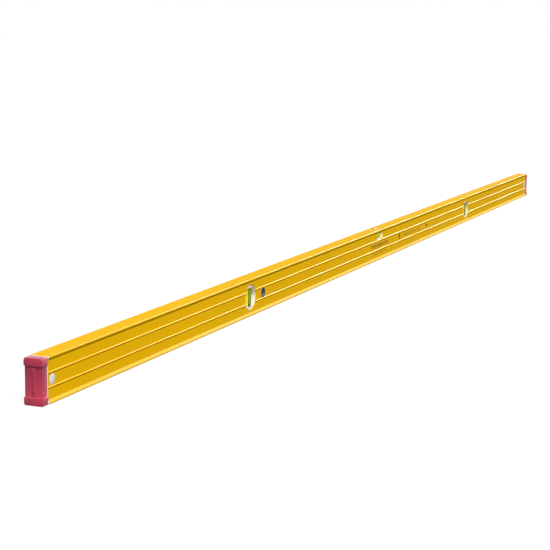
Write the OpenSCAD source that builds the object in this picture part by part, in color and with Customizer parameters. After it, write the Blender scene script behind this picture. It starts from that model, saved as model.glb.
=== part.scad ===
// Long box-beam spirit level: a hollow aluminium profile with one level vial in its top edge,
// two plumb vials in round windows, a hanging hole, and a shock-absorbing cap on each end
// that two spring buttons lock in place.
// X runs along the level, Y across its thickness, Z up. The origin is the centre of the
// bottom measuring face.

/* [Level] */
// Length over both end caps
overall_length = 2440; // [1500:10:3000]
// Height between the two measuring faces
level_height = 60; // [50:0.5:75]
// Thickness across the measuring faces
level_width = 27; // [22.5:0.5:34]

/* [Profile] */
// Depth of the side panels below the flange sides
web_recess = 2; // [1:0.1:2.4]
// Wall thickness of the two webs
web_wall = 1.8; // [1.4:0.1:2.4]
// Wall thickness behind each measuring face
flange_wall = 3; // [2:0.1:3.6]
// Height of the flat side of each flange
flange_lip = 2.5; // [2:0.1:3.6]
// Height of the slope from the flange side down to the web
flange_slope = 3.2; // [2:0.1:3.6]
// Radius along the edges of the measuring faces
edge_radius = 1; // [0.4:0.1:1.6]
// Distance between the two raised ribs of a side
rib_spacing = 18.5; // [17.5:0.5:19.5]
// Height of a rib above its web, which is half its width
rib_height = 1.2; // [0.4:0.1:1.4]

/* [Plumb vials] */
// Distance of each plumb vial from the middle of the level
plumb_offset = 615; // [200:1:640]
// Diameter of the round window
plumb_window_d = 41; // [36:0.5:43]
// Width of the housing's rim inside the window
plumb_rim = 2; // [1:0.1:3]
// Reach of the housing past the window, on both sides
plumb_housing_reach = 5; // [3:0.5:10]
// Width of the vial block along the level
plumb_block_w = 12.4; // [12:0.1:15]
// Height of the vial block, and of its seat
plumb_block_h = 30; // [28:0.5:32]
// Length of the vial's bore
plumb_bore_length = 24; // [20:0.5:25]

/* [Level vial] */
// Length of the side window
level_window_length = 42; // [36:0.5:50]
// Height of the side window
level_window_h = 13; // [12.5:0.5:15]
// Strip of web left between the side window and the flange's slope
window_drop = 0.4; // [0.2:0.1:1]
// Radius of the side window's lower corners
level_window_radius = 10; // [4:0.5:11]
// Width of the housing's rim inside the window
level_rim = 1.5; // [1:0.1:2]
// Length of the slot in the top measuring face
top_slot_length = 40; // [30:0.5:44]
// Width of the slot in the top measuring face
top_slot_w = 8; // [6:0.5:9]
// Length of the housing's key in each end of the slot
slot_key_length = 7; // [4:0.5:9]
// Distance of the keys below the top measuring face
slot_key_drop = 0.5; // [0.2:0.1:1.5]
// Reach of the housing past the window, on both sides
level_housing_reach = 7; // [5:0.5:12]
// Thickness of the housing's floor below the vial block
level_floor = 4; // [3:0.5:6]
// Length of the vial block
level_block_length = 40; // [38:0.5:44]
// Height of the vial block
level_block_h = 12; // [11.5:0.1:12.5]
// Distance of the vial block's faces behind the inner faces of the webs
level_block_setback = 2.2; // [1.6:0.1:2.6]
// Length of the vial's bore
level_bore_length = 32; // [28:0.5:34]

/* [Vial filling] */
// Diameter of every vial's bore
bore_d = 9.5; // [8:0.1:10]
// Length of a bubble
bubble_length = 9; // [6:0.5:11]
// Diameter of a bubble
bubble_d = 4.4; // [3:0.1:5]
// Distance between the two ring lines
ring_spacing = 13; // [10:0.5:16]
// Width of a ring line
ring_width = 0.7; // [0.4:0.1:1]
// Diameter of the filler hole in the end of a block
filler_d = 3; // [2:0.1:4]

/* [Hanging hole] */
// Distance of the hanging hole from the left plumb vial, towards the middle
hanging_offset = 48; // [40:1:80]
// Diameter of the hole in the webs
hanging_hole_d = 15.5; // [12:0.1:15.8]
// Wall thickness of the bush
bush_wall = 1.2; // [1:0.1:2]
// Width of the bush's outer lip
bush_lip_w = 0.35; // [0.2:0.05:1]
// Thickness of the bush's outer lip
bush_lip_t = 0.4; // [0.2:0.1:0.8]
// Length of the sleeve that plugs the front half into the rear half
bush_sleeve = 3; // [2:0.5:5]

/* [End caps] */
// Thickness of the white plate of the end plug
plate_t = 2; // [1.6:0.1:3]
// Thickness of the groove between the plate and the bumper's side rib
rear_groove_t = 3.6; // [2:0.1:5]
// Thickness of the rib up each side of the bumper
side_rib_t = 3.6; // [2.5:0.1:5]
// Thickness of the groove between the side rib and the bumper's face
front_groove_t = 3.1; // [2:0.1:4]
// Thickness of the bumper's face between its two bands
face_t = 1.2; // [0.8:0.1:2]
// Height of the two bands above the bumper's face
band_t = 1.5; // [1:0.1:3]
// Length of each band up the cap
band_h = 10; // [6:0.5:14]
// Distance of the cap below the measuring faces
cap_inset = 0.4; // [0.2:0.1:1]
// Depth of the grooves in the bumper's sides
groove_depth = 1.5; // [1:0.1:2]
// Depth of the side ribs and the face below the bands' sides
side_inset = 0.2; // [0.1:0.1:0.8]
// Reach of the plug into the profile
plug_reach = 34; // [28:1:50]
// Wall thickness of the plug
plug_wall = 1.4; // [1.2:0.1:1.8]
// Thickness of the plug's middle web, where the springs push
middle_web = 1.6; // [1.2:0.1:2]
// Diameter of the pegs that hold the bumper on the plug
peg_d = 5; // [4:0.1:5.5]
// Reach of the pegs behind the plate
peg_reach = 2; // [1:0.5:4]
// Distance between the pegs, up the cap
peg_spacing = 32; // [26:1:34]

/* [Release buttons] */
// Distance of the buttons from the end of the profile
button_offset = 10; // [9.5:0.5:16]
// Diameter of the button holes
button_hole_d = 13; // [12.6:0.1:14.4]
// Height of a button's dome above the web
dome_h = 0.7; // [0.3:0.1:1]
// Travel of a button
button_travel = 2.8; // [2.4:0.1:3]
// Thickness of a button's face
button_face = 2.2; // [1.8:0.1:3]
// Wall thickness of a button's skirt
skirt_wall = 1; // [0.8:0.1:1.2]
// Width of the collar that keeps the button in the plug
collar_w = 1.2; // [0.8:0.1:1.4]
// Thickness of the collar
collar_t = 1.2; // [0.8:0.1:1.4]
// Outer diameter of a spring
spring_d = 9; // [8:0.1:9.4]
// Wire diameter of a spring
spring_wire = 0.6; // [0.4:0.1:0.7]
// Turns of a spring
spring_turns = 4.5; // [3:0.5:5]

/* [Clearances] */
// Gap between the profile and what slides into it
slide_fit = 0.15; // [0.05:0.05:0.2]
// Gap round a button in its hole
button_fit = 0.1; // [0.05:0.05:0.15]
// Gap round the bush and the pegs in their holes
round_fit = 0.05; // [0.05:0.05:0.1]
// Gap between the filling and the bore's wall
film = 0.2; // [0.15:0.05:0.3]
// Gap between a bubble and the liquid round it
bubble_gap = 0.3; // [0.25:0.05:0.4]

/* [Hidden] */
$fn = 64;

left = -1;
right = 1;
front = -1;
rear = 1;
mid_z = level_height / 2;
// A cut runs this far past the face that it opens.
over = 1;

bumper_t = rear_groove_t + side_rib_t + front_groove_t + face_t + band_t;
cap_t = plate_t + bumper_t;
profile_length = overall_length - 2 * cap_t;
web_half = level_width / 2 - web_recess;
cavity_half = web_half - web_wall;
cavity_h = level_height - 2 * flange_wall;
insert_half = cavity_half - slide_fit;
insert_h = cavity_h - 2 * slide_fit;
hanging_x = hanging_offset - plumb_offset;
bush_d = hanging_hole_d - 2 * round_fit;
bush_bore_d = bush_d - 2 * bush_wall;
bush_lip_d = hanging_hole_d + 2 * bush_lip_w;

plumb_tunnel_d = plumb_window_d - 2 * plumb_rim;
plumb_housing_length = plumb_window_d + 2 * plumb_housing_reach;

// The block of a plumb vial stands this far behind the rim of its housing.
block_setback = 1;
// The rim of a plumb housing stands this far into the window.
window_spigot = 0.6;
plumb_block_t = 2 * (cavity_half + window_spigot - block_setback);

window_top = level_height - flange_lip - flange_slope - window_drop;
window_bottom = window_top - level_window_h;
level_block_z = window_bottom + level_rim + level_block_h / 2;
level_block_t = 2 * (cavity_half - level_block_setback);
level_housing_length = level_window_length + 2 * level_housing_reach;
level_housing_top = mid_z + insert_h / 2;
level_housing_bottom = window_bottom + level_rim - level_floor;

ring_gap = 0.03;
ring_t = 0.12;

button_r = button_hole_d / 2 - button_fit;
cheek_inner = insert_half - plug_wall;
collar_outer = cheek_inner - button_fit;
collar_inner = collar_outer - collar_t;
web_face = middle_web / 2;
skirt_end = web_face + button_travel;
face_inner = web_half - button_face;
dome_r = (button_r * button_r + dome_h * dome_h) / (2 * dome_h);
dome_steps = 8;

wire_sides = 8;
steps_per_turn = 16;
flat_turns = 0.7;

// Extrudes a (Y, Z) outline along X from the origin.
module along_x(length) {
    rotate([90, 0, 90])
        linear_extrude(length)
            children();
}

// Extrudes an (X, Z) outline along Y, to both sides of the middle.
module across(width) {
    rotate([90, 0, 0])
        linear_extrude(width, center = true)
            children();
}

// Turns what is drawn up +Z so that it points out of the front or the rear side.
module facing(side) {
    rotate([-90 * side, 0, 0])
        children();
}

// Moves what is drawn at the right end of the profile, +X outwards, to either end.
module at_end(side) {
    mirror([side == left ? 1 : 0, 0, 0])
        translate([profile_length / 2, 0, 0])
            children();
}

module at_plumb(side) {
    translate([side * plumb_offset, 0, mid_z])
        children();
}

// A flat slab across X: w wide, h high, centred up the level, from x to x + t.
module slab(x, t, w, h) {
    translate([x, -w / 2, mid_z - h / 2])
        cube([t, w, h]);
}

// ---------- profile ----------

// One flange with its measuring face on y = 0.
module flange_outline() {
    flat = level_width - 2 * edge_radius;
    translate([-flat / 2, 0])
        square([flat, flange_lip]);
    translate([-level_width / 2, edge_radius])
        square([level_width, flange_lip - edge_radius]);
    for (side = [front, rear])
        translate([side * flat / 2, edge_radius])
            circle(edge_radius);
    polygon([
        [-level_width / 2, flange_lip],
        [level_width / 2, flange_lip],
        [web_half, flange_lip + flange_slope],
        [-web_half, flange_lip + flange_slope]
    ]);
}

// The outer outline of the profile without its ribs.
module beam_outline() {
    flange_outline();
    translate([0, level_height])
        mirror([0, 1])
            flange_outline();
    translate([-web_half, flange_lip])
        square([2 * web_half, level_height - 2 * flange_lip]);
}

module profile_outline() {
    difference() {
        union() {
            beam_outline();
            for (side = [front, rear], row = [-1, 1])
                translate([side * web_half, mid_z + row * rib_spacing / 2])
                    circle(rib_height);
        }
        translate([-cavity_half, flange_wall])
            square([2 * cavity_half, cavity_h]);
    }
}

// A window with a flat top and round lower corners, shrunk by inset.
module level_window_outline(inset) {
    half = level_window_length / 2 - inset;
    radius = level_window_radius - inset;
    bottom = window_bottom + inset;
    intersection() {
        translate([-half, bottom])
            square([2 * half, window_top - bottom]);
        union() {
            translate([-half, bottom + radius])
                square([2 * half, level_height]);
            translate([-half + radius, bottom])
                square([2 * (half - radius), level_height]);
            for (side = [left, right])
                translate([side * (half - radius), bottom + radius])
                    circle(radius);
        }
    }
}

// The slot in the top face from z to top, shrunk by gap.
module top_slot(z, top, gap) {
    straight = top_slot_length - top_slot_w;
    width = top_slot_w - 2 * gap;
    translate([0, 0, z])
        linear_extrude(top - z) {
            square([straight, width], center = true);
            for (side = [left, right])
                translate([side * straight / 2, 0])
                    circle(d = width);
        }
}

module profile() {
    color([0.97, 0.75, 0.02])
    difference() {
        translate([-profile_length / 2, 0, 0])
            along_x(profile_length)
                profile_outline();
        for (side = [left, right]) {
            at_plumb(side)
                across(level_width)
                    circle(d = plumb_window_d);
            at_end(side)
                translate([-button_offset, 0, mid_z])
                    across(level_width)
                        circle(d = button_hole_d);
        }
        translate([hanging_x, 0, mid_z]) {
            across(level_width)
                circle(d = hanging_hole_d);
            for (face = [front, rear])
                facing(face)
                    translate([0, 0, web_half])
                        cylinder(d = bush_lip_d + 2 * round_fit, h = level_width);
        }
        across(level_width)
            level_window_outline(0);
        top_slot(level_height - flange_wall - over, level_height + over, 0);
    }
}

// ---------- end caps ----------

// The pegs that hold a bumper, grown by gap for their holes.
module pegs(gap) {
    peg_y = (web_face + cheek_inner) / 2;
    for (side = [front, rear], row = [-1, 1])
        translate([-peg_reach, side * peg_y, mid_z + row * peg_spacing / 2])
            rotate([0, 90, 0])
                cylinder(d = peg_d + 2 * gap, h = peg_reach + plate_t);
}

module plate_outline() {
    intersection() {
        beam_outline();
        translate([-level_width / 2, cap_inset])
            square([level_width, level_height - 2 * cap_inset]);
    }
}

module end_plug(side) {
    color([0.93, 0.93, 0.92])
    at_end(side)
    difference() {
        union() {
            along_x(plate_t)
                plate_outline();
            slab(-plug_reach, plug_reach, 2 * insert_half, insert_h);
        }
        for (face = [front, rear]) {
            chamber = cheek_inner - web_face;
            translate([-plug_reach, 0, mid_z])
                translate([-over, min(face * web_face, face * cheek_inner), -insert_h / 2 + plug_wall])
                    cube([plug_reach + over, chamber, insert_h - 2 * plug_wall]);
            translate([-button_offset, 0, mid_z])
                facing(face)
                    translate([0, 0, web_face + over])
                        cylinder(d = button_hole_d, h = level_width / 2);
        }
        pegs(round_fit);
    }
}

// A bumper: a grooved core with a rib up each side and a face, and two bands that wrap round
// its ends.
module bumper(side) {
    cap_h = level_height - 2 * cap_inset;
    rib_x = plate_t + rear_groove_t;
    face_x = rib_x + side_rib_t + front_groove_t;
    color([0.66, 0.12, 0.2])
    at_end(side) {
        slab(plate_t, face_x - plate_t, level_width - 2 * groove_depth, cap_h);
        slab(rib_x, side_rib_t, level_width - 2 * side_inset, cap_h);
        slab(face_x, face_t, level_width - 2 * side_inset, cap_h);
        for (row = [-1, 1])
            translate([0, 0, row * (cap_h - band_h) / 2])
                slab(plate_t, bumper_t, level_width, band_h);
        pegs(0);
    }
}

// ---------- release buttons ----------

// A domed cup with a collar, drawn up +Z from the middle of the level.
module button_body() {
    skirt_inner = spring_d / 2 + button_fit * 3;
    skirt_outer = skirt_inner + skirt_wall;
    dome = [
        for (i = [0 : dome_steps])
        let (r = button_r * (1 - i / dome_steps))
        [r, web_half + dome_h - dome_r + sqrt(dome_r * dome_r - r * r)]
    ];
    rotate_extrude()
        polygon(concat(
            [
                [0, face_inner],
                [skirt_inner, face_inner],
                [skirt_inner, skirt_end],
                [skirt_outer, skirt_end],
                [skirt_outer, collar_inner],
                [button_r + collar_w, collar_inner],
                [button_r + collar_w, collar_outer],
                [button_r, collar_outer]
            ],
            dome
        ));
}

module button(side, face) {
    color([0.9, 0.9, 0.91])
    at_end(side)
        translate([-button_offset, 0, mid_z])
            facing(face)
                button_body();
}

// Height of a spring's wire after a number of turns: flat coils at both ends, and even
// turns in between.
function coil_height(turn) =
    let (
        low = web_face + spring_wire / 2,
        high = face_inner - spring_wire / 2,
        share = (turn - flat_turns) / (spring_turns - 2 * flat_turns)
    )
    low + (high - low) * min(1, max(0, share));

// A wire of round section along a helix, drawn up +Z from the plug's middle web.
module coil() {
    r = (spring_d - spring_wire) / 2;
    steps = spring_turns * steps_per_turn;
    points = [
        for (i = [0 : steps], k = [0 : wire_sides - 1])
        let (
            turn = 360 * i / steps_per_turn,
            around = 360 * k / wire_sides,
            reach = r + cos(around) * spring_wire / 2
        )
        [
            reach * cos(turn),
            reach * sin(turn),
            coil_height(i / steps_per_turn) + sin(around) * spring_wire / 2
        ]
    ];
    side_faces = [
        for (i = [0 : steps - 1], k = [0 : wire_sides - 1])
        let (next = (k + 1) % wire_sides, here = i * wire_sides, ahead = here + wire_sides)
        [here + k, ahead + k, ahead + next, here + next]
    ];
    start_face = [for (k = [0 : wire_sides - 1]) k];
    end_face = [for (k = [wire_sides - 1 : -1 : 0]) steps * wire_sides + k];
    polyhedron(points, concat(side_faces, [start_face, end_face]));
}

module spring(side, face) {
    color([0.62, 0.63, 0.65])
    at_end(side)
        translate([-button_offset, 0, mid_z])
            facing(face)
                coil();
}

// ---------- vial filling, drawn along +Z about the middle of the bore ----------

module vial_bore(length) {
    cylinder(d = bore_d, h = length, center = true);
}

module filler_hole(length, reach) {
    translate([0, 0, length / 2])
        cylinder(d = filler_d, h = reach);
}

module filler_plug(length, reach) {
    translate([0, 0, length / 2])
        cylinder(d = filler_d - 2 * round_fit, h = reach);
}

module ring_lines() {
    outer = bore_d / 2 - ring_gap;
    for (row = [-1, 1])
        translate([0, 0, row * ring_spacing / 2])
            difference() {
                cylinder(r = outer, h = ring_width, center = true);
                cylinder(r = outer - ring_t, h = ring_width + over, center = true);
            }
}

// The liquid, with the space that the bubble travels in left free.
module liquid(length, lift) {
    difference() {
        cylinder(d = bore_d - 2 * film, h = length - 2 * film, center = true);
        translate([lift, 0, 0])
            cylinder(d = bubble_d + 2 * bubble_gap, h = length - 4 * film, center = true);
    }
}

// A bubble with round ends, its middle on the origin.
module bubble_body() {
    straight = bubble_length - bubble_d;
    cylinder(d = bubble_d, h = straight, center = true);
    for (row = [-1, 1])
        translate([0, 0, row * straight / 2])
            sphere(d = bubble_d);
}

// ---------- plumb vials ----------

module plumb_housing(side) {
    color([0.9, 0.9, 0.92])
    at_plumb(side)
    difference() {
        union() {
            across(2 * insert_half)
                square([plumb_housing_length, insert_h], center = true);
            across(2 * (cavity_half + window_spigot))
                circle(d = plumb_window_d - 2 * slide_fit);
        }
        across(level_width)
            intersection() {
                circle(d = plumb_tunnel_d);
                square([plumb_tunnel_d, plumb_block_h], center = true);
            }
        cube([plumb_block_w, plumb_block_t, plumb_block_h], center = true);
    }
}

module plumb_block(side) {
    color([0.85, 0.9, 0.75, 0.4])
    at_plumb(side)
    difference() {
        cube([plumb_block_w, plumb_block_t, plumb_block_h], center = true);
        vial_bore(plumb_bore_length);
        filler_hole(plumb_bore_length, plumb_block_h);
    }
}

module plumb_liquid(side) {
    color([0.85, 0.88, 0.1, 0.8])
    at_plumb(side)
        liquid(plumb_bore_length, 0);
}

module plumb_rings(side) {
    color([0.08, 0.08, 0.08])
    at_plumb(side)
        ring_lines();
}

// A bubble of a plumb vial rests against the top of its bore while the level lies flat.
module plumb_bubble(side) {
    color([0.95, 0.98, 0.9, 0.5])
    at_plumb(side)
        translate([0, 0, plumb_bore_length / 2 - 2 * film - bubble_gap - bubble_length / 2])
            bubble_body();
}

module plumb_filler_plug(side) {
    color([0.9, 0.9, 0.9])
    at_plumb(side)
        filler_plug(plumb_bore_length, (plumb_block_h - plumb_bore_length) / 2);
}

// ---------- level vial ----------

module at_level_vial() {
    translate([0, 0, level_block_z])
        rotate([0, -90, 0])
            children();
}

module level_housing() {
    pocket_top = level_block_z + level_block_h / 2;
    view_length = top_slot_length - 2 * slot_key_length;
    color([0.93, 0.93, 0.94])
    difference() {
        union() {
            translate([-level_housing_length / 2, -insert_half, level_housing_bottom])
                cube([level_housing_length, 2 * insert_half, level_housing_top - level_housing_bottom]);
            top_slot(level_housing_top - over, level_height - slot_key_drop, round_fit);
        }
        translate([0, 0, level_block_z])
            cube([level_block_length, level_block_t, level_block_h], center = true);
        across(level_width)
            intersection() {
                level_window_outline(level_rim);
                translate([-level_window_length, 0])
                    square([2 * level_window_length, pocket_top]);
            }
        translate([-view_length / 2, -top_slot_w / 2, pocket_top - over])
            cube([view_length, top_slot_w, level_height]);
    }
}

module level_block() {
    color([0.85, 0.9, 0.75, 0.4])
    difference() {
        translate([0, 0, level_block_z])
            cube([level_block_length, level_block_t, level_block_h], center = true);
        at_level_vial() {
            vial_bore(level_bore_length);
            filler_hole(level_bore_length, level_block_length);
        }
    }
}

// The bubble lies just under the top of the bore.
level_bubble_lift = (bore_d - bubble_d) / 2 - bubble_gap;

module level_liquid() {
    color([0.85, 0.88, 0.1, 0.8])
    at_level_vial()
        liquid(level_bore_length, level_bubble_lift);
}

module level_rings() {
    color([0.08, 0.08, 0.08])
    at_level_vial()
        ring_lines();
}

module level_bubble() {
    color([0.95, 0.98, 0.9, 0.5])
    at_level_vial()
        translate([level_bubble_lift, 0, 0])
            bubble_body();
}

module level_filler_plug() {
    color([0.9, 0.9, 0.9])
    at_level_vial()
        filler_plug(level_bore_length, (level_block_length - level_bore_length) / 2);
}

// ---------- hanging hole ----------

// One half of the bush, from the middle of the level out to its lip.
module bush_shell() {
    cylinder(d = bush_d, h = web_half);
    translate([0, 0, web_half])
        cylinder(d = bush_lip_d, h = bush_lip_t);
}

module bush_sleeve_space(gap) {
    sleeve_d = (bush_d + bush_bore_d) / 2;
    translate([0, 0, -bush_sleeve])
        cylinder(d = sleeve_d + 2 * gap, h = bush_sleeve);
}

module bush_bore() {
    cylinder(d = bush_bore_d, h = 2 * level_width, center = true);
}

module hanging_bush_front() {
    color([0.35, 0.34, 0.42])
    translate([hanging_x, 0, mid_z])
    facing(front)
    difference() {
        union() {
            bush_shell();
            bush_sleeve_space(0);
        }
        bush_bore();
    }
}

module hanging_bush_rear() {
    color([0.35, 0.34, 0.42])
    translate([hanging_x, 0, mid_z])
    facing(rear)
    difference() {
        bush_shell();
        mirror([0, 0, 1])
            bush_sleeve_space(round_fit);
        bush_bore();
    }
}

profile();
end_plug(left);  // end_plug_left
end_plug(right);  // end_plug_right
bumper(left);  // bumper_left
bumper(right);  // bumper_right
button(left, front);  // button_front_left
button(left, rear);  // button_rear_left
button(right, front);  // button_front_right
button(right, rear);  // button_rear_right
spring(left, front);  // spring_front_left
spring(left, rear);  // spring_rear_left
spring(right, front);  // spring_front_right
spring(right, rear);  // spring_rear_right
plumb_housing(left);  // plumb_housing_left
plumb_block(left);  // plumb_block_left
plumb_liquid(left);  // plumb_liquid_left
plumb_rings(left);  // plumb_rings_left
plumb_bubble(left);  // plumb_bubble_left
plumb_filler_plug(left);  // plumb_filler_plug_left
plumb_housing(right);  // plumb_housing_right
plumb_block(right);  // plumb_block_right
plumb_liquid(right);  // plumb_liquid_right
plumb_rings(right);  // plumb_rings_right
plumb_bubble(right);  // plumb_bubble_right
plumb_filler_plug(right);  // plumb_filler_plug_right
level_housing();
level_block();
level_liquid();
level_rings();
level_bubble();
level_filler_plug();
hanging_bush_front();
hanging_bush_rear();
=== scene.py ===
# %% [markdown]
# # A long box-beam spirit level
# The object is a hollow yellow aluminium profile with a level vial in its top edge, a plumb vial
# in a round window at each quarter, a hanging hole, and a red bumper on a white plug at each end.
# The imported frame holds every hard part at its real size. This script gives each part its finish,
# and models the pieces whose looks need more than their plain shape.

# %% Load the frame
import itertools
import math

import bmesh
import bpy
from mathutils import Matrix, Vector


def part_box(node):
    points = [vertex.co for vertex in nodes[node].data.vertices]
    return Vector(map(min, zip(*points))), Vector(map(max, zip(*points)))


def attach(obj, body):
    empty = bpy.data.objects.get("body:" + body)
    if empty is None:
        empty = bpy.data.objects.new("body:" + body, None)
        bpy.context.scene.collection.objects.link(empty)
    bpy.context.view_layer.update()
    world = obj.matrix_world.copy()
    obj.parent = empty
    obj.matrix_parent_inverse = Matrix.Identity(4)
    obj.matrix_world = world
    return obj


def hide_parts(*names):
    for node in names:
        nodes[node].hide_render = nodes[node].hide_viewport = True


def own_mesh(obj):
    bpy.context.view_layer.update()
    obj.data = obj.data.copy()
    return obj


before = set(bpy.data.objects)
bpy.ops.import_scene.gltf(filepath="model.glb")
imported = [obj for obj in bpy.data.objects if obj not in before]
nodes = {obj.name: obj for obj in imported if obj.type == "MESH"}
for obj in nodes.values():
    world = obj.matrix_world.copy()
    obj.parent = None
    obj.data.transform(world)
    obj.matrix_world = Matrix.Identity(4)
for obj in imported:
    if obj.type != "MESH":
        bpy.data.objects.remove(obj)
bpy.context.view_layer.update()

ENDS = ("left", "right")
FACES = ("front", "rear")
SIGN = {"left": -1, "right": 1, "front": -1, "rear": 1}
MM = 0.001

# %% [markdown]
# ## Places worked out from the frame
# A part's box says where it is, so pieces are placed from boxes and never from guessed numbers.
# The side panels lie a little below the flanges, and that depth is the one size that no box shows.

# %% Places
profile_low, profile_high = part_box("profile")
half_width = profile_high.y
mid_z = profile_high.z / 2
WEB_RECESS = 2 * MM
web_y = half_width - WEB_RECESS
print("profile:", [round(v, 4) for v in profile_high - profile_low])

# %% [markdown]
# ## Building materials
# Every finish is a small node tree on the Principled shader. A few helpers keep the trees short:
# they start a material with its constant numbers, add a node with its inputs, make noise in the
# object's own coordinates, and turn noise into colours, ranges and bumps of a real height. Object
# coordinates are right here, because every piece keeps its place in its mesh and its object sits
# at the origin.


# %% Material helpers
def start_material(name, **settings):
    """A new material whose shader has the given constants."""
    material = bpy.data.materials.new(name)
    material.use_nodes = True
    shader = material.node_tree.nodes["Principled BSDF"]
    for socket, value in settings.items():
        shader.inputs[socket.replace("_", " ")].default_value = value
    return material, material.node_tree, shader


def add(tree, kind, inputs=None, **settings):
    """Adds a node to any tree, with values or links for its inputs."""
    node = tree.nodes.new(kind)
    for setting, value in settings.items():
        setattr(node, setting, value)
    for key, value in (inputs or {}).items():
        if isinstance(value, bpy.types.NodeSocket):
            tree.links.new(value, node.inputs[key])
        else:
            node.inputs[key].default_value = value
    return node


def noise(tree, scale, detail=2.0, stretch=(1, 1, 1)):
    """Noise in the object's own coordinates, from 0 to 1."""
    place = add(tree, "ShaderNodeTexCoord")
    stretched = add(
        tree, "ShaderNodeMapping", {"Vector": place.outputs["Object"], "Scale": stretch}
    )
    texture = add(
        tree,
        "ShaderNodeTexNoise",
        {"Vector": stretched.outputs["Vector"], "Scale": scale, "Detail": detail},
    )
    return texture.outputs["Fac"]


def ramp(tree, value, stops):
    """Two colours that a value blends between."""
    node = add(tree, "ShaderNodeValToRGB", {"Fac": value})
    for index, (position, colour) in enumerate(stops):
        node.color_ramp.elements[index].position = position
        node.color_ramp.elements[index].color = colour
    return node.outputs["Color"]


def level_range(tree, value, low, high):
    """Turns a value from 0 to 1 into one from low to high."""
    node = add(tree, "ShaderNodeMapRange", {"Value": value, "To Min": low, "To Max": high})
    return node.outputs["Result"]


def bump(tree, shader, height, depth):
    """Turns a noise into relief of a real depth."""
    relief = add(
        tree, "ShaderNodeBump", {"Height": height, "Distance": depth, "Strength": 1.0}
    )
    tree.links.new(relief.outputs["Normal"], shader.inputs["Normal"])


print("material helpers ready")

# %% [markdown]
# ## Yellow powder coat
# Powder is baked onto the aluminium, so the colour is strong and even, with a slight orange-peel
# texture about a millimetre across and a soft shine. One wide noise shifts the yellow a little
# along the length, and a fine one gives the peel as real bump. The long edges are painted paler,
# partly as rubbed wear and partly as a painted highlight on their rounded corners: the distance
# from the middle plane picks them out, and a noise breaks the paler colour up.


# %% Powder coat
COAT_DEEP = (0.86, 0.478, 0.0004, 1)
COAT_LIGHT = (0.90, 0.508, 0.0008, 1)
# The paler edge colour is partly rubbed wear and partly a painted highlight on the rounded edges.
COAT_RUBBED_AND_HIGHLIT = (0.93, 0.57, 0.010, 1)
WEAR_AND_HIGHLIGHT_STARTS = 0.7 * MM
WEAR_AND_HIGHLIGHT_IS_FULL = 0.1 * MM
PEEL_DEPTH = 0.012 * MM


def edge_wear_and_highlight(tree):
    """From 0 on the webs to 1 on the outermost long edges, broken up by a noise: rubbed wear and a
    painted highlight.
    """
    place = add(tree, "ShaderNodeTexCoord")
    parts = add(tree, "ShaderNodeSeparateXYZ", {0: place.outputs["Object"]})
    away = add(tree, "ShaderNodeMath", {0: parts.outputs["Y"]}, operation="ABSOLUTE")
    edge = add(
        tree,
        "ShaderNodeMapRange",
        {
            "Value": away.outputs[0],
            "From Min": half_width - WEAR_AND_HIGHLIGHT_STARTS,
            "From Max": half_width - WEAR_AND_HIGHLIGHT_IS_FULL,
        },
    )
    edge_breakup = level_range(tree, noise(tree, scale=40.0, detail=5.0), low=0.2, high=1.0)
    both = add(
        tree, "ShaderNodeMath", {0: edge.outputs[0], 1: edge_breakup}, operation="MULTIPLY"
    )
    return both.outputs[0]


def make_powder_coat():
    material, tree, shader = start_material("yellow_powder_coat", Specular_IOR_Level=0.04)
    wide = noise(tree, scale=3.0, detail=3.0)
    # The paler edges mixed in here are partly rubbed wear and partly a painted highlight.
    worn = add(
        tree,
        "ShaderNodeMix",
        {
            "Factor": edge_wear_and_highlight(tree),
            "A": ramp(tree, wide, [(0.3, COAT_DEEP), (0.7, COAT_LIGHT)]),
            "B": COAT_RUBBED_AND_HIGHLIT,
        },
        data_type="RGBA",
    )
    tree.links.new(worn.outputs["Result"], shader.inputs["Base Color"])
    bump(tree, shader, noise(tree, scale=900.0, detail=1.0), PEEL_DEPTH)
    shine = level_range(tree, noise(tree, scale=160.0), low=0.34, high=0.42)
    tree.links.new(shine, shader.inputs["Roughness"])
    return material


powder_coat = make_powder_coat()
print("made", powder_coat.name)

# %% [markdown]
# ## Red rubber
# The bumpers are moulded in a soft red rubber with a fine matt grain. The grain is bump, the
# mottling is a small shift of colour, and a little sheen gives the pale bloom that rubber has
# where light grazes it.


# %% Rubber
RUBBER_DEEP = (0.46, 0.026, 0.050, 1)
RUBBER_LIGHT = (0.60, 0.040, 0.074, 1)
RUBBER_BLOOM = (0.75, 0.7, 1.0, 1.0)
GRAIN_DEPTH = 0.05 * MM


def make_rubber():
    material, tree, shader = start_material(
        "red_rubber",
        Roughness=0.6,
        Specular_IOR_Level=0.4,
        Sheen_Weight=0.45,
        Sheen_Roughness=0.5,
        Sheen_Tint=RUBBER_BLOOM,
    )
    mottle = noise(tree, scale=420.0, detail=4.0)
    colour = ramp(tree, mottle, [(0.3, RUBBER_DEEP), (0.7, RUBBER_LIGHT)])
    tree.links.new(colour, shader.inputs["Base Color"])
    bump(tree, shader, noise(tree, scale=1500.0, detail=3.0), GRAIN_DEPTH)
    return material


rubber = make_rubber()
print("made", rubber.name)

# %% [markdown]
# ## White, grey and dark plastics
# Plugs, buttons and vial housings are moulded from white plastic. It is never one flat tone: it
# has a faint cloudiness, and its polish changes a little from place to place. The bush in the
# hanging hole is the same kind of material in a dark blue-grey, with more shine.


# %% Plastics
WHITE = ((0.80, 0.79, 0.80, 1), (0.88, 0.88, 0.89, 1))
BUTTON_WHITE = ((0.80, 0.80, 0.81, 1), (0.88, 0.88, 0.89, 1))
BLUE_GREY = ((0.13, 0.12, 0.18, 1), (0.19, 0.18, 0.25, 1))


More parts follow.
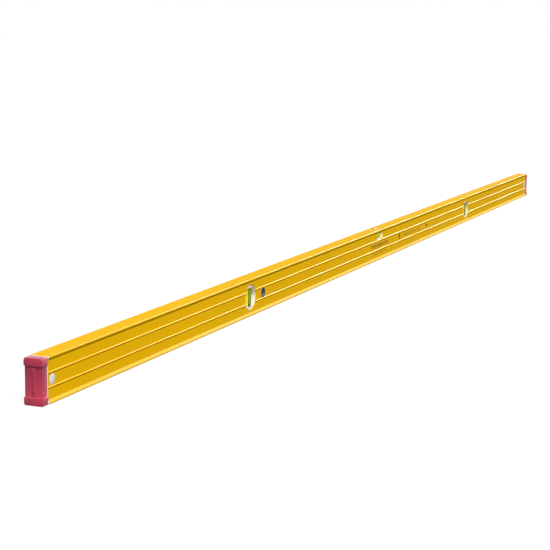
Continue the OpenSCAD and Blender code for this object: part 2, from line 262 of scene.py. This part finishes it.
def make_plastic(name, colours, roughness, grain):
    material, tree, shader = start_material(name, Specular_IOR_Level=0.5)
    cloud = noise(tree, scale=60.0, detail=3.0)
    colour = ramp(tree, cloud, [(0.25, colours[0]), (0.75, colours[1])])
    tree.links.new(colour, shader.inputs["Base Color"])
    polish = level_range(
        tree, noise(tree, scale=220.0), low=roughness - 0.05, high=roughness + 0.06
    )
    tree.links.new(polish, shader.inputs["Roughness"])
    bump(tree, shader, noise(tree, scale=1300.0), grain)
    return material


white_plastic = make_plastic("white_plastic", WHITE, roughness=0.38, grain=0.01 * MM)
button_plastic = make_plastic(
    "button_plastic", BUTTON_WHITE, roughness=0.3, grain=0.008 * MM
)
bush_plastic = make_plastic("bush_plastic", BLUE_GREY, roughness=0.24, grain=0.008 * MM)
print("made", white_plastic.name, button_plastic.name, bush_plastic.name)

# %% [markdown]
# ## Glowing acrylic
# A vial's block is fluorescent acrylic: light that enters it runs inside and leaves at its narrow
# faces, which glow yellow-green while the wide front stays clear and dark. The face's own
# direction tells the two apart. The glow is painted on: the narrow faces get a brighter colour
# and a weak emission that stand for that light.

# %% Glowing acrylic
# The glow colour and the brighter face colours below paint on the light that leaves the narrow
# faces.
GLOW = (0.80, 0.82, 0.02, 1)
PAINTED_GLOW_COLOURS = ((0.84, 0.84, 0.03, 1), (0.90, 0.88, 0.06, 1))
GLOW_STARTS = 0.5
GLOW_IS_FULL = 0.9


def glow_mask(tree, axis):
    """1 on the faces that look along an axis, where light leaves the block, and 0 elsewhere."""
    facing = add(tree, "ShaderNodeNewGeometry")
    parts = add(tree, "ShaderNodeSeparateXYZ", {0: facing.outputs["Normal"]})
    size = add(tree, "ShaderNodeMath", {0: parts.outputs[axis]}, operation="ABSOLUTE")
    mask = add(
        tree,
        "ShaderNodeMapRange",
        {"Value": size.outputs[0], "From Min": GLOW_STARTS, "From Max": GLOW_IS_FULL},
    )
    return mask.outputs[0]


def make_acrylic(name, axis, front_tint, clear):
    """A clear block, tinted in front, whose faces get a painted glow, a brighter colour and an
    emission, where they look along the axis.
    """
    material, tree, shader = start_material(name, IOR=1.49, Emission_Color=GLOW)
    mask = glow_mask(tree, axis)
    cloud = noise(tree, scale=90.0)
    tint = add(
        tree,
        "ShaderNodeMix",
        {
            "Factor": mask,
            "A": front_tint,
            "B": ramp(tree, cloud, [(0.2, PAINTED_GLOW_COLOURS[0]), (0.8, PAINTED_GLOW_COLOURS[1])]),
        },
        data_type="RGBA",
    )
    changes = {
        "Base Color": tint.outputs["Result"],
        "Transmission Weight": level_range(tree, mask, low=0.95, high=clear),
        "Emission Strength": level_range(tree, mask, low=0.02, high=0.16),
        "Roughness": level_range(tree, noise(tree, scale=300.0), low=0.02, high=0.06),
    }
    for socket, value in changes.items():
        tree.links.new(value, shader.inputs[socket])
    return material


plumb_acrylic = make_acrylic(
    "plumb_acrylic", axis="X", front_tint=(0.34, 0.38, 0.13, 1), clear=0.15
)
level_acrylic = make_acrylic(
    "level_acrylic", axis="Y", front_tint=(0.80, 0.72, 0.06, 1), clear=0.8
)
print("made", plumb_acrylic.name, level_acrylic.name)

# %% [markdown]
# ## Liquid and bubble
# The liquid is tinted, and a weak emission paints a glow on it, as on the block. It lets most
# light through, because the bubble lies inside it and has to be seen. The bubble is a pale glass,
# and a faint emission paints on the bright light that it catches.


# %% Liquid and bubble
def make_liquid():
    material, tree, shader = start_material(
        "vial_liquid",
        Roughness=0.12,
        IOR=1.36,
        Transmission_Weight=0.85,
        # A weak emission paints a glow on the liquid.
        Emission_Color=(0.75, 0.82, 0.02, 1),
        Emission_Strength=0.3,
    )
    deep, light = (0.62, 0.74, 0.01, 1), (0.80, 0.84, 0.02, 1)
    colour = ramp(tree, noise(tree, scale=180.0), [(0.2, deep), (0.8, light)])
    tree.links.new(colour, shader.inputs["Base Color"])
    return material


def make_bubble():
    material, tree, shader = start_material(
        "air_bubble",
        Base_Color=(0.95, 1.0, 0.85, 1),
        IOR=1.1,
        Transmission_Weight=0.3,
        # A faint emission paints on the bright light that the bubble catches.
        Emission_Color=(1.0, 1.0, 0.72, 1),
        Emission_Strength=0.55,
    )
    polish = level_range(tree, noise(tree, scale=400.0), low=0.0, high=0.05)
    tree.links.new(polish, shader.inputs["Roughness"])
    return material


liquid = make_liquid()
bubble = make_bubble()
print("made", liquid.name, bubble.name)

# %% [markdown]
# ## Enamel and ink
# The ring lines are black enamel, and the marks on the profile are a dark brown ink. Both are
# thin dark films that have worn unevenly, so one recipe makes them: a noise moves the colour and
# the roughness together.


# %% Enamel and ink
def make_film(name, shine, wear, dark, faded, roughness):
    """A dark film, where one noise drives both its colour and its roughness."""
    material, tree, shader = start_material(name, Specular_IOR_Level=shine)
    worn = noise(tree, **wear)
    colour = ramp(tree, worn, [(0.2, dark), (0.9, faded)])
    tree.links.new(colour, shader.inputs["Base Color"])
    rough = level_range(tree, worn, low=roughness[0], high=roughness[1])
    tree.links.new(rough, shader.inputs["Roughness"])
    return material


enamel = make_film(
    "black_enamel",
    shine=0.4,
    wear={"scale": 700.0},
    dark=(0.006, 0.006, 0.005, 1),
    faded=(0.03, 0.028, 0.02, 1),
    roughness=(0.3, 0.45),
)
ink = make_film(
    "printed_ink",
    shine=0.2,
    wear={"scale": 500.0, "detail": 3.0},
    dark=(0.020, 0.011, 0.004, 1),
    faded=(0.045, 0.026, 0.006, 1),
    roughness=(0.45, 0.6),
)
print("made", enamel.name, ink.name)

# %% [markdown]
# ## Spring wire
# Drawn steel wire carries fine lines round each turn. A noise that is stretched along the
# spring's own axis gives those lines, and the metal is fully metallic.


# %% Spring wire
LINE_DEPTH = 0.004 * MM


def make_wire():
    material, tree, shader = start_material(
        "spring_wire", Base_Color=(0.56, 0.57, 0.6, 1), Metallic=1.0
    )
    lines = noise(tree, scale=900.0, stretch=(1, 6, 1))
    polish = level_range(tree, lines, low=0.22, high=0.4)
    tree.links.new(polish, shader.inputs["Roughness"])
    bump(tree, shader, lines, LINE_DEPTH)
    return material


spring_wire = make_wire()
print("made", spring_wire.name)

# %% [markdown]
# ## Finishes for the parts whose shape is right
# These parts keep the mesh that the frame gives, and only their material changes. One table
# from name to finish covers them all, and a name's beginning is enough to find its finish.

# %% Carried-over parts
FINISHES = {
    "profile": powder_coat,
    "end_plug": white_plastic,
    "button": button_plastic,
    "plumb_housing": white_plastic,
    "level_housing": white_plastic,
    "plumb_block": plumb_acrylic,
    "level_block": level_acrylic,
    "plumb_liquid": liquid,
    "level_liquid": liquid,
    "plumb_bubble": bubble,
    "level_bubble": bubble,
    "plumb_rings": enamel,
    "level_rings": enamel,
    "plumb_filler_plug": white_plastic,
    "level_filler_plug": white_plastic,
    "hanging_bush": bush_plastic,
    "spring": spring_wire,
    "bumper": rubber,
}
for name, part in nodes.items():
    finish = next(material for start, material in FINISHES.items() if name.startswith(start))
    part.data.materials.clear()
    part.data.materials.append(finish)
print("finished", len(nodes), "carried-over parts")

# %% [markdown]
# ## Helpers for meshes
# A new piece starts as a mesh, gets its edges rounded, and rides on a body. Its modifiers are
# applied, so it ends as a plain mesh whose object stays at the origin, and a pattern on object
# coordinates never slides.

# %% Mesh helpers
WELD = 0.0005 * MM
SHADING_ANGLE = math.radians(35)
SHARP_ANGLE = math.radians(30)
ROUND_STEPS = 3


def plain_mesh(piece):
    """Turns what a piece's modifiers show into its own mesh."""
    shown = piece.evaluated_get(bpy.context.evaluated_depsgraph_get())
    mesh = bpy.data.meshes.new_from_object(shown)
    piece.modifiers.clear()
    piece.data = mesh


def link_piece(name, data):
    piece = bpy.data.objects.new(name, data)
    bpy.context.scene.collection.objects.link(piece)
    return piece


def round_edges(piece, width):
    modifier = piece.modifiers.new("round", "BEVEL")
    modifier.width = width
    modifier.segments = ROUND_STEPS
    modifier.limit_method = "ANGLE"
    modifier.angle_limit = SHARP_ANGLE
    plain_mesh(piece)


def finish_piece(piece, material):
    """Gives a piece its finish, outward faces and soft shading, and puts it on the level."""
    shape = bmesh.new()
    shape.from_mesh(piece.data)
    bmesh.ops.remove_doubles(shape, verts=shape.verts, dist=WELD)
    bmesh.ops.recalc_face_normals(shape, faces=shape.faces)
    shape.to_mesh(piece.data)
    shape.free()
    piece.data.materials.clear()
    piece.data.materials.append(material)
    piece.data.shade_smooth()
    piece.data.set_sharp_from_angle(angle=SHADING_ANGLE)
    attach(piece, "level")
    print(piece.name, "faces:", len(piece.data.polygons))


print("mesh helpers ready")

# %% [markdown]
# ## Helpers for Geometry Nodes
# What repeats or follows a rule is grown by a node tree. A tree has named inputs, so one tree
# serves pieces of many sizes. It ends by making its copies real and giving them their material,
# and its result is kept as a plain mesh too.


# %% Geometry Nodes helpers
def new_tree(name, sizes):
    """A node tree with named inputs. Returns the tree and the sockets of its inputs."""
    tree = bpy.data.node_groups.new(name, "GeometryNodeTree")
    tree.interface.new_socket("Geometry", in_out="INPUT", socket_type="NodeSocketGeometry")
    tree.interface.new_socket("Geometry", in_out="OUTPUT", socket_type="NodeSocketGeometry")
    for label, kind in sizes.items():
        tree.interface.new_socket(label, in_out="INPUT", socket_type="NodeSocket" + kind)
    return tree, tree.nodes.new("NodeGroupInput").outputs


def end_tree(tree, geometry, material):
    """Closes a tree with real geometry in one material."""
    real = add(tree, "GeometryNodeRealizeInstances", {"Geometry": geometry})
    painted = add(
        tree, "GeometryNodeSetMaterial", {"Geometry": real.outputs[0], "Material": material}
    )
    end = tree.nodes.new("NodeGroupOutput")
    tree.links.new(painted.outputs[0], end.inputs[0])


def grow(name, tree, sizes, place):
    """Runs a tree once, keeps its result as a plain mesh, and moves that mesh to its place."""
    piece = link_piece(name, bpy.data.meshes.new(name))
    modifier = piece.modifiers.new("grow", "NODES")
    modifier.node_group = tree
    for item in tree.interface.items_tree:
        if item.in_out == "INPUT" and item.name in sizes:
            modifier[item.identifier] = sizes[item.name]
    plain_mesh(piece)
    piece.data.transform(place)
    return piece


print("geometry nodes helpers ready")

# %% [markdown]
# ## Bumpers
# A bumper is one moulding: two grooves run round it, with a rib between them that takes the
# knocks, and a thick band wraps its top and its bottom and stands out of its face. Separate
# boxes would show seams where they meet, so the boxes only say which space is rubber, and one
# closed skin is drawn round that space.

# %% Skin round boxes
FLAT_ANGLE = math.radians(1)
SIDES = [(axis, step) for axis in range(3) for step in (-1, 1)]


def inside(point, boxes):
    return any(
        all(low[i] < point[i] < high[i] for i in range(3)) for low, high in boxes
    )


def skin_round(boxes, bend):
    """One closed skin round boxes that touch or overlap: the space is cut at every box's side,
    and bend moves each corner of the cut space to where it belongs."""
    cuts = [sorted({corner[i] for box in boxes for corner in box}) for i in range(3)]
    shape = bmesh.new()
    corners = {}

    def corner(key):
        if key not in corners:
            corners[key] = shape.verts.new(bend([cuts[i][key[i]] for i in range(3)]))
        return corners[key]

    def filled(cell):
        if any(not 0 <= cell[i] < len(cuts[i]) - 1 for i in range(3)):
            return False
        return inside([(cuts[i][cell[i]] + cuts[i][cell[i] + 1]) / 2 for i in range(3)], boxes)

    for cell in itertools.product(*(range(len(c) - 1) for c in cuts)):
        if not filled(cell):
            continue
        for axis, step in SIDES:
            beside = list(cell)
            beside[axis] += step
            if filled(beside):
                continue
            keys = []
            for a, b in ((0, 0), (1, 0), (1, 1), (0, 1)):
                key = list(cell)
                key[axis] += step > 0
                key[(axis + 1) % 3] += a
                key[(axis + 2) % 3] += b
                keys.append(tuple(key))
            shape.faces.new([corner(key) for key in keys])
    bmesh.ops.recalc_face_normals(shape, faces=shape.faces)
    bmesh.ops.dissolve_limit(
        shape, angle_limit=FLAT_ANGLE, verts=shape.verts, edges=shape.edges
    )
    return shape


print("skin helper ready")

# %% [markdown]
# ## Two bumpers
# Only the sizes that no box shows are written down: the grooves, rib and face behind one another,
# how deep the grooves are, and how the bands lean in at their outer edges. The leaning is a bend
# of the skin's corners beyond the grooves' depth. One bevel then rounds every edge alike, as in
# a mould, and the skin takes the place of the frame's plain block.

# %% Bumpers
REAR_GROOVE = 3.6 * MM
SIDE_RIB = 3.6 * MM
FRONT_GROOVE = 3.1 * MM
FACE = 1.2 * MM
GROOVE_DEPTH = 1.5 * MM
BAND_HEIGHT = 10 * MM
WAIST = 0.8 * MM
SHOULDER = 3.4 * MM
SHOULDER_IN = 1.3 * MM
RUBBER_EDGE = 0.36 * MM


def bumper_boxes(end):
    """The boxes that say where a bumper is rubber, and the place of its face."""
    low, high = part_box("bumper_" + end)
    outer = max(abs(low.x), abs(high.x))
    plate = max(abs(v.x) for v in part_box("end_plug_" + end))
    rib = plate + REAR_GROOVE
    face = rib + SIDE_RIB + FRONT_GROOVE
    wide = high.y
    waist = wide - WAIST
    bottom, top = low.z, high.z
    # Near side and far side, counted from the middle of the level, half width, bottom, top.
    layers = [
        (plate, face + FACE, wide - GROOVE_DEPTH, bottom, top),
        (rib, rib + SIDE_RIB, waist, bottom, top),
        (face, face + FACE, waist, bottom, top),
        (plate, outer, wide, bottom, bottom + SHOULDER),
        (plate, outer, wide, bottom + SHOULDER, bottom + BAND_HEIGHT),
        (plate, outer, wide, top - BAND_HEIGHT, top - SHOULDER),
        (plate, outer, wide, top - SHOULDER, top),
    ]
    boxes = []
    for near, far, y, low_z, high_z in layers:
        ends = sorted((SIGN[end] * near, SIGN[end] * far))
        boxes.append(((ends[0], -y, low_z), (ends[1], y, high_z)))
    return boxes, SIGN[end] * (face + FACE)


def bumper_bend(end):
    """Leans the bands' sides in at the top, and half as much at the bottom."""
    low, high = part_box("bumper_" + end)
    slopes = {round(low.z, 6): SHOULDER_IN / 2, round(high.z, 6): SHOULDER_IN}
    core = high.y - GROOVE_DEPTH

    def bend(point):
        x, y, z = point
        beyond = max(abs(y) - core, 0.0)
        y -= math.copysign(slopes.get(round(z, 6), 0.0) * beyond / GROOVE_DEPTH, y)
        return x, y, z

    return bend


def fit_to_boxes(mesh, boxes):
    """Rounding can push a corner out by a hair, so the mesh is drawn in to the boxes' extent."""
    points = [vertex.co.copy() for vertex in mesh.vertices]
    for i in range(3):
        near, far = min(p[i] for p in points), max(p[i] for p in points)
        low, high = min(box[0][i] for box in boxes), max(box[1][i] for box in boxes)
        share = (high - low) / (far - near)
        for vertex, point in zip(mesh.vertices, points):
            vertex.co[i] = low + (point[i] - near) * share


def make_bumper(end):
    boxes, face_x = bumper_boxes(end)
    shape = skin_round(boxes, bumper_bend(end))
    name = "bumper_skin_" + end
    piece = link_piece(name, bpy.data.meshes.new(name))
    shape.to_mesh(piece.data)
    shape.free()
    round_edges(piece, RUBBER_EDGE)
    fit_to_boxes(piece.data, boxes)
    finish_piece(piece, rubber)
    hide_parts("bumper_" + end)
    return face_x


face_places = {end: make_bumper(end) for end in ENDS}
print("faces at:", {end: round(x, 4) for end, x in face_places.items()})

# %% [markdown]
# ## Rows of small raised tabs
# The face of each bumper has a column of small raised dashes under one larger tab, and the front
# of the profile has printed marks. Both are rows of the same thing: a rectangle with round
# corners, a little thick, repeated at an even step. One node tree grows them all. Every fifth
# one may be longer, which makes a plain scale with no lettering.

# %% Tree for a row of tabs
CORNER_STEPS = 3
LONGER_EVERY = 5.0
TAB_WELD = 0.001 * MM


def make_row_tree(name, material):
    tree, given = new_tree(
        name,
        {
            "Count": "Int",
            "Step": "Float",
            "Width": "Float",
            "Height": "Float",
            "Thickness": "Float",
            "Corner": "Float",
            "Fifth": "Float",
        },
    )
    outline = add(
        tree,
        "GeometryNodeCurvePrimitiveQuadrilateral",
        {"Width": given["Width"], "Height": given["Height"]},
    )
    rounded = add(
        tree,
        "GeometryNodeFilletCurve",
        {"Curve": outline.outputs[0], "Radius": given["Corner"], "Count": CORNER_STEPS},
        mode="POLY",
    )
    base = add(
        tree, "GeometryNodeFillCurve", {"Curve": rounded.outputs[0]}, mode="NGONS"
    )
    raised = add(
        tree,
        "GeometryNodeExtrudeMesh",
        {
            "Mesh": base.outputs[0],
            "Offset Scale": given["Thickness"],
            "Individual": False,
        },
    )
    under = add(tree, "GeometryNodeFlipFaces", {"Mesh": base.outputs[0]})
    both = add(tree, "GeometryNodeJoinGeometry")
    tree.links.new(raised.outputs[0], both.inputs[0])
    tree.links.new(under.outputs[0], both.inputs[0])
    tab = add(
        tree,
        "GeometryNodeMergeByDistance",
        {"Geometry": both.outputs[0], "Distance": TAB_WELD},
    )
    step = add(tree, "ShaderNodeCombineXYZ", {"X": given["Step"]})
    line = add(
        tree, "GeometryNodeMeshLine", {"Count": given["Count"], "Offset": step.outputs[0]}
    )
    index = add(tree, "GeometryNodeInputIndex")
    fifth = add(
        tree, "ShaderNodeMath", {0: index.outputs[0], 1: LONGER_EVERY}, operation="MODULO"
    )
    first = add(
        tree, "ShaderNodeMath", {0: fifth.outputs[0], 1: 0.5}, operation="LESS_THAN"
    )
    size = add(
        tree,
        "ShaderNodeMapRange",
        {"Value": first.outputs[0], "To Min": 1.0, "To Max": given["Fifth"]},
    )
    scale = add(
        tree, "ShaderNodeCombineXYZ", {"X": 1.0, "Y": size.outputs[0], "Z": 1.0}
    )
    row = add(
        tree,
        "GeometryNodeInstanceOnPoints",
        {
            "Points": line.outputs[0],
            "Instance": tab.outputs[0],
            "Scale": scale.outputs[0],
        },
    )
    end_tree(tree, row.outputs[0], material)
    return tree


rubber_row = make_row_tree("row_of_rubber_tabs", rubber)
print("made", rubber_row.name)

# %% [markdown]
# ## Relief on the bumper faces
# The dashes run down the middle of each face, below the tab. They are sunk a little into the
# rubber, so that no gap shows under them, and they stand less proud than the bands, so nothing
# reaches past the end of the level.

# %% Relief on the bumper faces
TAB_SINK = 0.2 * MM
TAB_PROUD = 0.7 * MM
DASHES_ABOVE_MIDDLE = 7.5 * MM
TAB_ABOVE_MIDDLE = 14 * MM
DASHES = {
    "Count": 9,
    "Step": 3.3 * MM,
    "Width": 1.3 * MM,
    "Height": 3.4 * MM,
    "Thickness": TAB_SINK + TAB_PROUD,
    "Corner": 0.45 * MM,
    "Fifth": 1.0,
}
TAB = DASHES | {"Count": 1, "Width": 7 * MM, "Height": 5 * MM, "Corner": 1 * MM}


def face_place(end, z):
    """Lays a row of tabs on a bumper's face, with its steps going down."""
    outwards = Vector((SIGN[end], 0, 0))
    down = Vector((0, 0, -1))
    across = outwards.cross(down)
    turn = Matrix((down, across, outwards)).transposed().to_4x4()
    start = Vector((face_places[end] - SIGN[end] * TAB_SINK, 0, z))
    return Matrix.Translation(start) @ turn


def add_relief(kind, end, sizes, above_middle):
    place = face_place(end, mid_z + above_middle)
    piece = grow(f"bumper_{kind}_{end}", rubber_row, sizes, place)
    finish_piece(piece, rubber)


for end in ENDS:
    add_relief("dashes", end, DASHES, DASHES_ABOVE_MIDDLE)
    add_relief("tab", end, TAB, TAB_ABOVE_MIDDLE)

# %% [markdown]
# ## Printed marks
# The real coat carries dark printed marks on its front. Marks that name a maker are left out,
# and plain ticks take their place: a centred scale on the middle panel, a finer row on the lower
# panel, and two short rows to the right. Ink is a film, so each tick stands only a few
# hundredths of a millimetre out of the coat.

# %% Marks on the front
INK_FILM = 0.04 * MM
INK_SINK = 0.02 * MM
CORNER_SHARE = 0.3
ink_row = make_row_tree("row_of_ticks", ink)


def web_place(x, z):
    """Lays a row of ticks on the front web, with its steps going right."""
    turn = Matrix.Rotation(math.radians(90), 4, "X")
    return Matrix.Translation((x, -web_y + INK_SINK, z)) @ turn


MARKS = {
    # name: first x, z, count, step, width, height, and how much taller each fifth one is.
    # Places and sizes are in millimetres.
    "centre_scale": (-46, 30, 25, 4.0, 1.7, 6.0, 1.8),
    "lower_scale": (-40, 14.5, 33, 2.5, 0.8, 2.2, 1.6),
    "spot_mark": (123, 32, 1, 1.0, 7.0, 7.0, 1.0),
    "bar_mark": (123, 26, 1, 1.0, 7.0, 2.4, 1.0),
    "fine_scale": (150, 30, 28, 4.0, 1.0, 4.0, 1.6),
    "end_mark": (304, 31, 2, 6.0, 4.0, 7.0, 1.0),
}
for name, (x, z, count, step, width, height, fifth) in MARKS.items():
    sizes = {
        "Count": count,
        "Step": step * MM,
        "Width": width * MM,
        "Height": height * MM,
        "Thickness": INK_FILM + INK_SINK,
        "Corner": min(width, height) * MM * CORNER_SHARE,
        "Fifth": fifth,
    }
    piece = grow(name, ink_row, sizes, web_place(x * MM, z * MM))
    finish_piece(piece, ink)

# %% [markdown]
# ## Springs
# The spring behind each button is a wire wound to a rule: a circle that climbs, with its first
# and last turns lying flat so that it stands square. A spiral curve follows the same rule in
# Geometry Nodes, a smooth step flattens its ends, and a circle swept along it is the wire.

# %% Tree for a spring
TURN_STEPS = 28
WIRE_SIDES = 10


def make_spring_tree(material):
    tree, given = new_tree(
        "wound_spring",
        {"Radius": "Float", "Wire": "Float", "Turns": "Float", "Length": "Float"},
    )
    coil = add(
        tree,
        "GeometryNodeCurveSpiral",
        {
            "Resolution": TURN_STEPS,
            "Rotations": given["Turns"],
            "Start Radius": given["Radius"],
            "End Radius": given["Radius"],
            "Height": given["Length"],
        },
    )
    along = add(tree, "GeometryNodeSplineParameter")
    climb = add(
        tree,
        "ShaderNodeMapRange",
        {"Value": along.outputs["Factor"], "To Max": given["Length"]},
        interpolation_type="SMOOTHSTEP",
    )
    where = add(tree, "GeometryNodeInputPosition")
    parts = add(tree, "ShaderNodeSeparateXYZ", {0: where.outputs[0]})
    point = add(
        tree,
        "ShaderNodeCombineXYZ",
        {"X": parts.outputs["X"], "Y": parts.outputs["Y"], "Z": climb.outputs[0]},
    )
    wound = add(
        tree,
        "GeometryNodeSetPosition",
        {"Geometry": coil.outputs[0], "Position": point.outputs[0]},
    )
    half = add(
        tree, "ShaderNodeMath", {0: given["Wire"], 1: 0.5}, operation="MULTIPLY"
    )
    section = add(
        tree,
        "GeometryNodeCurvePrimitiveCircle",
        {"Resolution": WIRE_SIDES, "Radius": half.outputs[0]},
    )
    wire = add(
        tree,
        "GeometryNodeCurveToMesh",
        {
            "Curve": wound.outputs[0],
            "Profile Curve": section.outputs[0],
            "Fill Caps": True,
        },
    )
    end_tree(tree, wire.outputs[0], material)
    return tree


spring_tree = make_spring_tree(spring_wire)
print("made", spring_tree.name)

# %% [markdown]
# ## Four springs
# Each spring's box gives its radius, its length and its seat, so only the wire and the number of
# turns are written down. On the real level, the spring flattens towards its seat near the middle
# when the button goes in.

# %% Springs
WIRE = 0.6 * MM
TURNS = 4.5


def make_spring(face, end):
    key = f"{face}_{end}"
    low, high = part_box("spring_" + key)
    sign = SIGN[face]
    inner = min(abs(low.y), abs(high.y))
    length = high.y - low.y
    sizes = {
        "Radius": (high.z - low.z - WIRE) / 2,
        "Wire": WIRE,
        "Turns": TURNS,
        "Length": length - WIRE,
    }
    seat = Vector(((low.x + high.x) / 2, sign * inner, (low.z + high.z) / 2))
    turn = Matrix.Rotation(math.radians(-90 * sign), 4, "X")
    lift = Vector((0, sign * WIRE / 2, 0))
    piece = grow("coil_" + key, spring_tree, sizes, Matrix.Translation(seat + lift) @ turn)
    finish_piece(piece, spring_wire)
    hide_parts("spring_" + key)
    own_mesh(piece)


for face in FACES:
    for end in ENDS:
        make_spring(face, end)

# %% [markdown]
# ## Floor
# A plain pale floor carries the level. It shines white to the camera alone, so that the level
# stands on clean white, and it is dark to every other ray, so that it doesn't light the level
# from below.

# %% Floor
FLOOR_HALF = 60.0
FLOOR_SHINE = 0.93
PAPER_DEEP = (0.08, 0.08, 0.08, 1)
PAPER_LIGHT = (0.11, 0.11, 0.11, 1)
PAPER_UNSEEN = (0.05, 0.05, 0.05, 1)


def make_floor():
    material, tree, shader = start_material(
        "floor_paper",
        Roughness=0.9,
        Specular_IOR_Level=0.0,
        Emission_Color=(1, 1, 1, 1),
    )
    seen = add(tree, "ShaderNodeLightPath").outputs["Is Camera Ray"]
    paper = add(
        tree,
        "ShaderNodeMix",
        {
            "Factor": seen,
            "A": PAPER_UNSEEN,
            "B": ramp(tree, noise(tree, scale=25.0), [(0, PAPER_DEEP), (1, PAPER_LIGHT)]),
        },
        data_type="RGBA",
    )
    tree.links.new(paper.outputs["Result"], shader.inputs["Base Color"])
    shine = level_range(tree, seen, low=0.0, high=FLOOR_SHINE)
    tree.links.new(shine, shader.inputs["Emission Strength"])
    shape = bmesh.new()
    bmesh.ops.create_grid(shape, x_segments=1, y_segments=1, size=FLOOR_HALF)
    floor = link_piece("floor", bpy.data.meshes.new("floor"))
    shape.to_mesh(floor.data)
    shape.free()
    floor.data.materials.append(material)
    print("floor half side:", FLOOR_HALF, "m")


make_floor()

# %% [markdown]
# ## Light
# Four suns do the work of soft boxes, because a sun lights a long object evenly. The key comes
# from above, in front and to the left, which lights the top most, the front less, and leaves the
# underside of each flange dark. The back fill keeps the far side readable, and the end fill
# cools the left bumper. The rim only makes shine and no plain light, and it draws the bright
# line along the rounded edges. The world is dim to the level and white to the camera.

# %% Light
WORLD_DIM = 0.16
WORLD_SEEN = 1.0
SUNS = {
    # name: where it shines to, strength, width in degrees, colour, shine only
    "key": ((0.34, 0.59, -0.73), 3.6, 24, (1, 1, 1), False),
    "back_fill": ((-0.48, -0.83, -0.22), 1.8, 40, (1, 1, 1), False),
    "rim": ((-0.91, 0.13, -0.39), 7.0, 14, (1, 1, 1), True),
    "end_fill": ((0.95, 0.1, -0.3), 0.9, 40, (0.8, 0.75, 1.0), False),
}


def add_sun(name, towards, strength, width, colour, shine_only):
    light = bpy.data.lights.new(name, "SUN")
    light.energy = strength
    light.angle = math.radians(width)
    light.color = colour
    lamp = link_piece(name, light)
    lamp.visible_diffuse = not shine_only
    lamp.rotation_mode = "QUATERNION"
    lamp.rotation_quaternion = Vector(towards).to_track_quat("-Z", "Y")


def make_world():
    world = bpy.data.worlds.new("studio")
    world.use_nodes = True
    tree = world.node_tree
    background = tree.nodes["Background"]
    background.inputs["Color"].default_value = (1, 1, 1, 1)
    seen = add(tree, "ShaderNodeLightPath").outputs["Is Camera Ray"]
    strength = level_range(tree, seen, low=WORLD_DIM, high=WORLD_SEEN)
    tree.links.new(strength, background.inputs["Strength"])
    bpy.context.scene.world = world


make_world()
for name, settings in SUNS.items():
    add_sun(name, *settings)
bpy.context.scene.view_settings.view_transform = "Standard"
print("suns:", ", ".join(SUNS))

# %% [markdown]
# ## Camera
# The camera stands beyond the left end, in front of the level and above it, and looks along
# the length. Its numbers are plain ones: where the eye is, how far it turns, tips and rolls,
# how long its lens is, and how far the picture is shifted up or down.

# %% Camera
EYE = Vector((-2.630, -0.940, 0.454))
TURN = math.radians(66.254)
TIP = math.radians(5.889)
ROLL = math.radians(0.118)
LENS = 92.09
SENSOR = 36
SHIFT_DOWN = 0.18
NEAR = 0.05
FAR = 200


def add_camera():
    ahead = Vector(
        (math.sin(TURN) * math.cos(TIP), math.cos(TURN) * math.cos(TIP), -math.sin(TIP))
    )
    flat_right = Vector((math.cos(TURN), -math.sin(TURN), 0))
    upright = flat_right.cross(ahead)
    right = flat_right * math.cos(ROLL) + upright * math.sin(ROLL)
    up = upright * math.cos(ROLL) - flat_right * math.sin(ROLL)
    data = bpy.data.cameras.new("camera")
    data.lens = LENS
    data.sensor_width = SENSOR
    data.shift_y = -SHIFT_DOWN
    data.clip_start = NEAR
    data.clip_end = FAR
    camera = link_piece("camera", data)
    axes = Matrix((right, up, -ahead)).transposed()
    camera.matrix_world = Matrix.Translation(EYE) @ axes.to_4x4()
    bpy.context.scene.camera = camera


add_camera()
print("camera placed")
